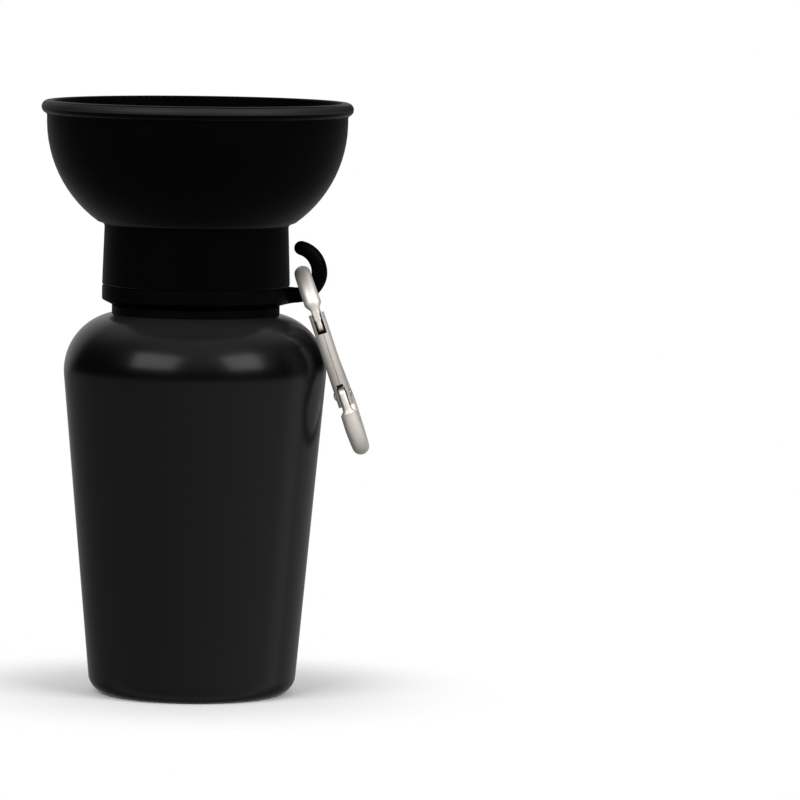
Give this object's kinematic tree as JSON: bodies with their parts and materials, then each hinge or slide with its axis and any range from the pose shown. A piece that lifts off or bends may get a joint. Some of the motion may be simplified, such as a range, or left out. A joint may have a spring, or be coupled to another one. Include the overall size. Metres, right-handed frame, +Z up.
{
  "type": "dog travel water bottle",
  "caption": "Black squeeze bottle with a flip-over silicone drinking bowl, a turning valve with a loop handle, a swivel ring with an open hook and a snap hook.",
  "frame": {"origin": "middle of the circle that the bottle stands on", "axes": "+Z up along the bottle's axis, +X towards the hook, -Y towards the snap hook's gate"},
  "size_m": [0.1124, 0.1056, 0.2022],
  "materials": {
    "bottle_plastic": "satin to semi-gloss black low-density polyethylene",
    "hard_plastic": "moulded black polypropylene, fine satin",
    "silicone": "matte black silicone rubber",
    "hook_metal": "satin silver, lightly tumbled",
    "pin_steel": "plain bright steel",
    "clear_tube": "milky clear polyethylene tube",
    "seal": "natural silicone"
  },
  "bodies": {
    "bottle": {"bottle": "bottle_plastic"},
    "hook_ring": {"hook_ring": "hard_plastic"},
    "carabiner": {"carabiner_frame": "hook_metal", "gate_rivet": "pin_steel"},
    "carabiner_gate": {"carabiner_gate": "hook_metal", "latch_pin": "pin_steel", "gate_plunger": "pin_steel", "gate_spring": "pin_steel"},
    "mouth_gasket": {"mouth_gasket": "seal"},
    "cap": {"screw_cap": "hard_plastic", "port_seal": "seal", "dip_tube": "clear_tube", "silicone_bowl": "silicone"},
    "valve": {"valve_knob": "hard_plastic", "spindle_seal": "silicone", "spring_washer": "pin_steel", "spindle_clip": "pin_steel"},
    "bowl_rim": {"bowl_rim": "silicone"}
  },
  "joints": [
    {"name": "ring_swivel", "type": "hinge", "parent": "bottle", "child": "hook_ring", "pos_m": [0, 0, 0.13593], "axis": [0, 0, 1], "continuous": true},
    {"name": "snap_hook_swing", "type": "hinge", "parent": "hook_ring", "child": "carabiner", "pos_m": [0.0365, 0, 0.14423], "axis": [0, -1, 0], "range_deg": [0, 100]},
    {"name": "gate_open", "type": "hinge", "parent": "carabiner", "child": "carabiner_gate", "pos_m": [0.05035, -0.01525, 0.10405], "axis": [-0.9454, 0, -0.3259], "range_deg": [0, 16], "stiffness_Nm_per_rad": 0.02, "springref_deg": -20.05},
    {"name": "cap_rise", "type": "slide", "parent": "bottle", "child": "mouth_gasket", "axis": [0, 0, 1], "range_m": [0, 0.005]},
    {"name": "cap_turn", "type": "hinge", "parent": "mouth_gasket", "child": "cap", "pos_m": [0, 0, 0.14973], "axis": [0, 0, 1], "range_deg": [0, 450]},
    {"name": "valve_turn", "type": "hinge", "parent": "cap", "child": "valve", "pos_m": [0, 0, 0.15783], "axis": [0, 0, 1], "range_deg": [0, 90]},
    {"name": "bowl_flip", "type": "slide", "parent": "cap", "child": "bowl_rim", "axis": [0, 0, -1], "range_m": [0, 0.076], "deforming": ["silicone_bowl"]}
  ],
  "couplings": [
    {"joint": "cap_rise", "follows": "cap_turn", "m_per_rad": 0.00063662}
  ]
}
